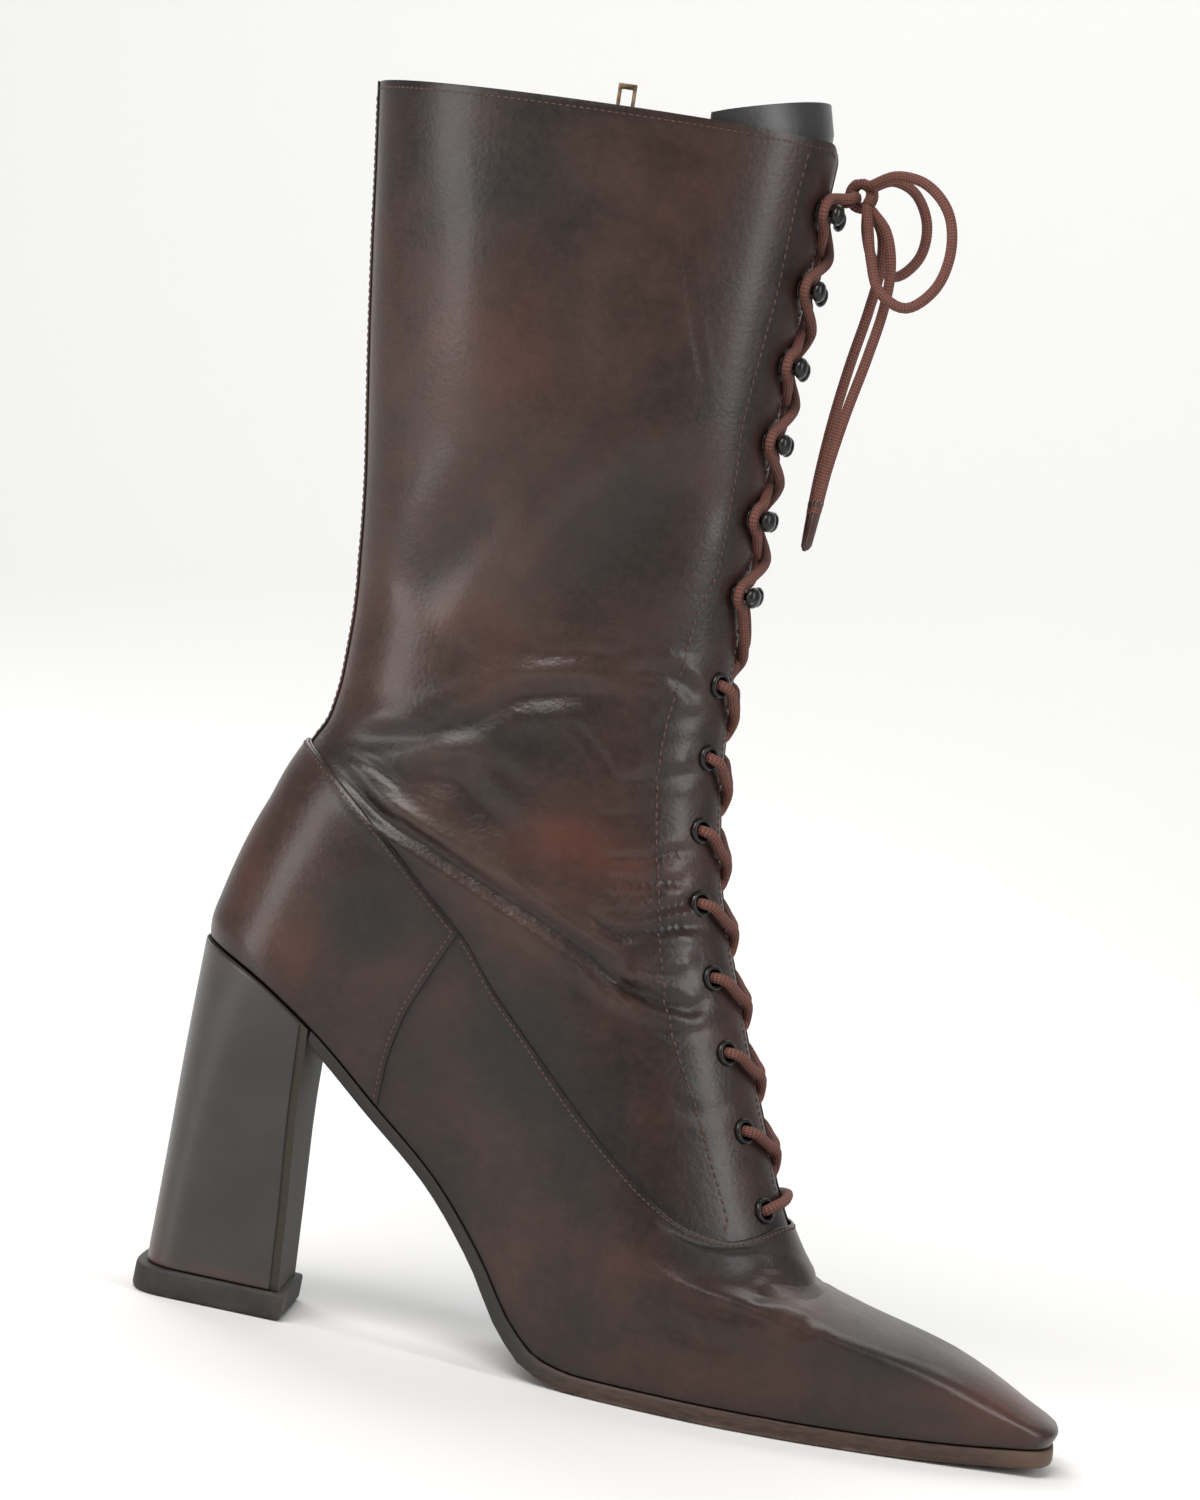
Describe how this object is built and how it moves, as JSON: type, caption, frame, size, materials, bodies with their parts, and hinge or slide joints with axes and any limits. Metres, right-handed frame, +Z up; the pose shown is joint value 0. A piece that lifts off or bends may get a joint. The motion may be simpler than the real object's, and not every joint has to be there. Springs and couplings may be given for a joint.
{
  "type": "victorian lace up boot",
  "caption": "Mid-calf lace-up boot for the right foot with narrow square toe, eyelets and speed hooks, a block heel, a tied bow and an inside zip.",
  "frame": {"origin": "on the floor plane, under the middle of the boot's length and width", "axes": "+X towards the toe, +Y towards the inner (medial) side of this right boot, +Z up"},
  "size_m": [0.245, 0.084, 0.3368],
  "materials": {
    "upper_leather": "antiqued brown calf, burnished red-brown and black, soft gloss",
    "lining_leather": "thin dark green-black tongue leather",
    "insole_leather": "brown sock leather, matte",
    "sole_leather": "sole leather, brown edge at the forefoot, black at the waist",
    "heel_leather": "olive-black leather cover with worn red-brown rims",
    "top_piece_rubber": "worn dark rubber",
    "black_metal": "black enamel, bright where worn",
    "zip_metal": "aged brass",
    "zip_tape": "dark brown woven tape",
    "lace_cord": "round braided red-brown lace",
    "lace_tips": "dark brown lace tip"
  },
  "bodies": {
    "boot": {"counter": "upper_leather", "eyelet_inner_1": "black_metal", "eyelet_inner_2": "black_metal", "eyelet_inner_3": "black_metal", "eyelet_inner_4": "black_metal", "eyelet_inner_5": "black_metal", "eyelet_inner_6": "black_metal", "eyelet_inner_7": "black_metal", "eyelet_inner_8": "black_metal", "eyelet_outer_1": "black_metal", "eyelet_outer_2": "black_metal", "eyelet_outer_3": "black_metal", "eyelet_outer_4": "black_metal", "eyelet_outer_5": "black_metal", "eyelet_outer_6": "black_metal", "eyelet_outer_7": "black_metal", "eyelet_outer_8": "black_metal", "heel": "heel_leather", "hook_inner_1": "black_metal", "hook_inner_2": "black_metal", "hook_inner_3": "black_metal", "hook_inner_4": "black_metal", "hook_inner_5": "black_metal", "hook_inner_6": "black_metal", "hook_outer_1": "black_metal", "hook_outer_2": "black_metal", "hook_outer_3": "black_metal", "hook_outer_4": "black_metal", "hook_outer_5": "black_metal", "hook_outer_6": "black_metal", "insole": "insole_leather", "lace": "lace_cord", "lace_end_inner": "lace_cord", "lace_end_outer": "lace_cord", "lace_knot": "lace_cord", "lace_loop_inner": "lace_cord", "lace_loop_outer": "lace_cord", "lace_tip_inner": "lace_tips", "lace_tip_outer": "lace_tips", "outsole": "sole_leather", "tongue": "lining_leather", "top_piece": "top_piece_rubber", "upper": "upper_leather", "zip_chain": "zip_metal", "zip_slider": "zip_metal", "zip_tape": "zip_tape"},
    "pull": {"zip_pull": "zip_metal"}
  },
  "joints": [
    {"name": "pull_hinge", "type": "hinge", "parent": "boot", "child": "pull", "pos_m": [-0.05992, 0.0402, 0.31452], "axis": [-0.9982, 0.0006, -0.0599], "range_deg": [0, 170]}
  ]
}
